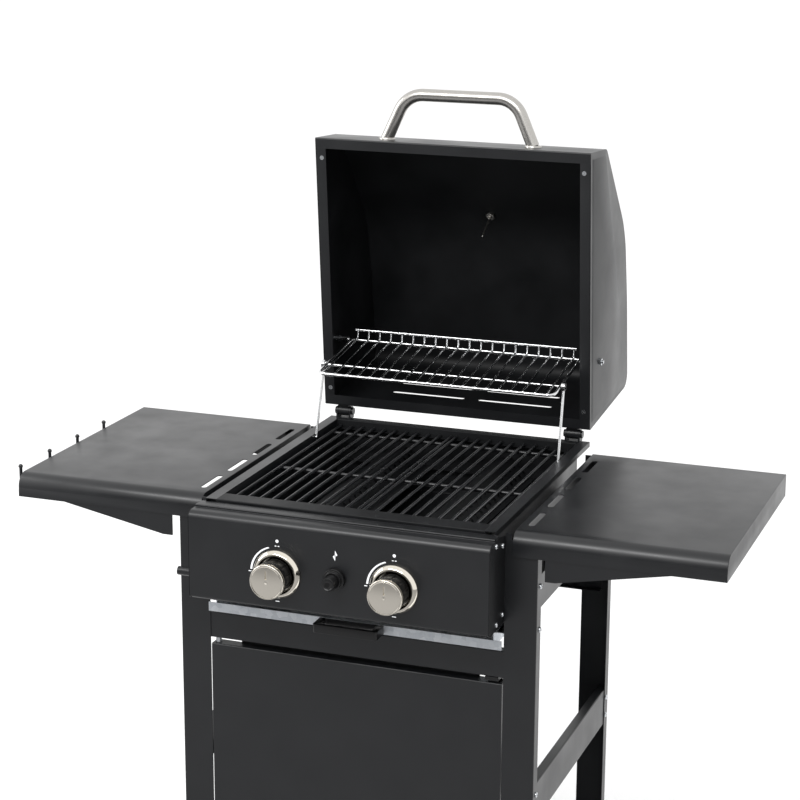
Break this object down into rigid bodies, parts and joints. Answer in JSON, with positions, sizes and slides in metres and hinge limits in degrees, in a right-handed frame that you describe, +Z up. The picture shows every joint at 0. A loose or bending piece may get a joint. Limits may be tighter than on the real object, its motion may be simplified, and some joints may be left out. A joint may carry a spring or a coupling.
{
  "type": "gas barbecue grill",
  "caption": "Gas barbecue grill on a cart, with a hinged lid, warming rack, side shelves, grease tray, cabinet door and wheels.",
  "frame": {"origin": "middle of the ground under the grill's overall box, lid open", "axes": "+Z up, +X to the right of someone facing the control panel, +Y from the control panel to the back"},
  "size_m": [1.1055, 0.7919, 1.3539],
  "materials": {
    "black_powder_coat": "satin",
    "black_enamel": "gloss",
    "black_wire": "satin",
    "brushed_stainless": "brushed",
    "chrome_plate": "polished",
    "zinc_plated_steel": "satin",
    "galvanised_sheet": "satin",
    "brass": "satin",
    "black_plastic": "matte",
    "white_ceramic": "glazed"
  },
  "bodies": {
    "cart": {"leg_front_left": "black_powder_coat", "leg_front_right": "black_powder_coat", "leg_rear_left": "black_powder_coat", "leg_rear_right": "black_powder_coat", "side_rails_upper": "black_powder_coat", "side_rails_lower": "black_powder_coat", "front_cross_panel": "black_powder_coat", "rear_crossbar": "black_powder_coat", "bottom_shelf": "black_powder_coat", "wheel_axle": "zinc_plated_steel", "foot_caps": "black_plastic", "cart_bolts": "zinc_plated_steel", "side_shelf_left": "black_powder_coat", "side_shelf_right": "black_powder_coat", "shelf_brackets": "black_powder_coat", "tool_hooks": "black_wire", "control_panel": "black_powder_coat", "panel_ends": "black_enamel", "knob_bezels": "chrome_plate", "gas_manifold": "zinc_plated_steel", "gas_valves": "brass", "gas_inlet": "black_wire", "igniter_body": "black_plastic", "igniter_electrode": "white_ceramic", "firebox_wrap": "black_enamel", "firebox_left": "black_enamel", "firebox_right": "black_enamel", "burner_left": "brushed_stainless", "burner_right": "brushed_stainless", "flame_tamer_left": "black_enamel", "flame_tamer_right": "black_enamel", "grate_left": "black_enamel", "grate_right": "black_enamel", "tray_runners": "black_powder_coat", "hinge_brackets": "black_powder_coat", "door_hinge_pins": "zinc_plated_steel", "door_catch": "black_plastic"},
    "lid": {"lid_shell": "black_enamel", "lid_side_left": "black_enamel", "lid_side_right": "black_enamel", "lid_handle": "brushed_stainless", "lid_thermometer": "brushed_stainless", "lid_hinge_arms": "black_powder_coat", "lid_fixings": "zinc_plated_steel"},
    "rack": {"warming_rack": "chrome_plate"},
    "rack_leg_frame": {"rack_legs": "chrome_plate"},
    "plug_left": {"valve_plug_left": "brass"},
    "plug_right": {"valve_plug_right": "brass"},
    "knob_left_set": {"knob_left": "black_plastic", "knob_cap_left": "chrome_plate", "valve_stem_left": "zinc_plated_steel"},
    "knob_right_set": {"knob_right": "black_plastic", "knob_cap_right": "chrome_plate", "valve_stem_right": "zinc_plated_steel"},
    "igniter_push": {"igniter_button": "black_plastic"},
    "tray": {"grease_tray": "galvanised_sheet", "tray_handle": "black_plastic"},
    "door": {"cabinet_door": "black_powder_coat"},
    "front_wheel": {"wheel_front": "black_plastic"},
    "rear_wheel": {"wheel_rear": "black_plastic"}
  },
  "joints": [
    {"name": "lid_hinge", "type": "hinge", "parent": "cart", "child": "lid", "pos_m": [0, 0.17703, 0.817], "axis": [1, 0, 0], "range_deg": [0, 85]},
    {"name": "rack_pivot", "type": "hinge", "parent": "lid", "child": "rack", "pos_m": [0, 0.20697, 0.93114], "axis": [1, 0, 0], "range_deg": [-85, 0]},
    {"name": "rack_leg_pivot", "type": "hinge", "parent": "cart", "child": "rack_leg_frame", "pos_m": [0, 0.06703, 0.8], "axis": [1, 0, 0], "range_deg": [0, 85]},
    {"name": "knob_turn_left", "type": "hinge", "parent": "cart", "child": "plug_left", "pos_m": [-0.089, -0.35497, 0.72], "axis": [0, -1, 0], "range_deg": [0, 180]},
    {"name": "knob_push_left", "type": "slide", "parent": "plug_left", "child": "knob_left_set", "axis": [0, 1, 0], "range_m": [0, 0.003], "stiffness_N_per_m": 1500, "springref_m": -0.002},
    {"name": "knob_turn_right", "type": "hinge", "parent": "cart", "child": "plug_right", "pos_m": [0.089, -0.35497, 0.72], "axis": [0, -1, 0], "range_deg": [0, 180]},
    {"name": "knob_push_right", "type": "slide", "parent": "plug_right", "child": "knob_right_set", "axis": [0, 1, 0], "range_m": [0, 0.003], "stiffness_N_per_m": 1500, "springref_m": -0.002},
    {"name": "igniter_press", "type": "slide", "parent": "cart", "child": "igniter_push", "axis": [0, 1, 0], "range_m": [0, 0.005], "stiffness_N_per_m": 1200, "springref_m": -0.002},
    {"name": "tray_slide", "type": "slide", "parent": "cart", "child": "tray", "axis": [0, -1, 0], "range_m": [0, 0.36]},
    {"name": "door_hinge", "type": "hinge", "parent": "cart", "child": "door", "pos_m": [-0.2196, -0.27597, 0.3655], "axis": [0, 0, -1], "range_deg": [0, 90]},
    {"name": "front_wheel_roll", "type": "hinge", "parent": "cart", "child": "front_wheel", "pos_m": [0.253, -0.28797, 0.075], "axis": [0, 1, 0], "continuous": true},
    {"name": "rear_wheel_roll", "type": "hinge", "parent": "cart", "child": "rear_wheel", "pos_m": [0.253, 0.13503, 0.075], "axis": [0, 1, 0], "continuous": true}
  ],
  "couplings": [
    {"joint": "rack_pivot", "follows": "lid_hinge", "ratio": -1},
    {"joint": "rack_leg_pivot", "follows": "lid_hinge", "ratio": 1}
  ]
}
